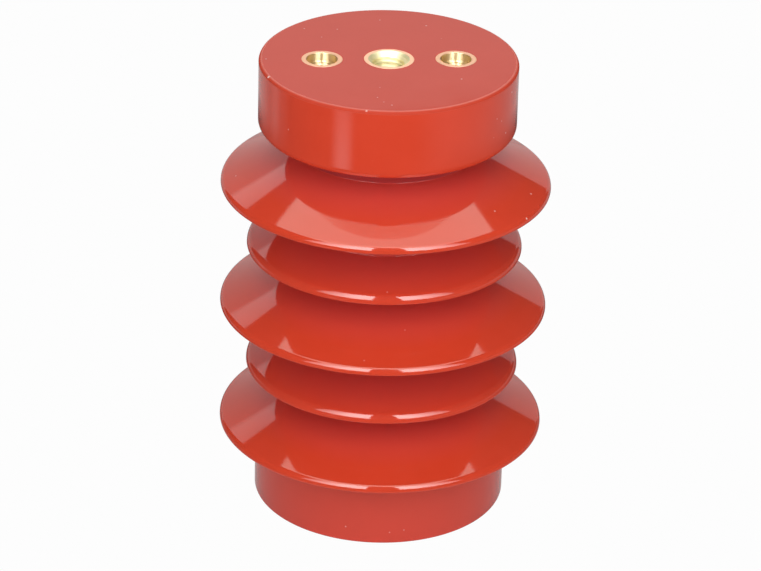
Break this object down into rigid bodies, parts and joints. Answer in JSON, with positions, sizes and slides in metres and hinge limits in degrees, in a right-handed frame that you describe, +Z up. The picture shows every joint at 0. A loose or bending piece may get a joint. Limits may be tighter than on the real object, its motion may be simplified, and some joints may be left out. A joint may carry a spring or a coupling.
{
  "type": "post insulator",
  "caption": "Round cast resin post insulator with alternating large and small sheds and threaded brass inserts cast into its head and foot.",
  "frame": {"origin": "middle of the foot, on the axis and in the plane that the foot stands on", "axes": "+Z up along the axis, from the foot to the head; +X along the row of three inserts in the head"},
  "size_m": [0.09, 0.09, 0.13],
  "materials": {
    "cast_resin": "glossy cast epoxy resin, red",
    "brass": "turned brass, bright"
  },
  "bodies": {
    "root": {"insulator_body": "cast_resin", "head_centre_insert": "brass", "head_side_insert_left": "brass", "head_side_insert_right": "brass", "foot_insert": "brass"}
  },
  "joints": []
}
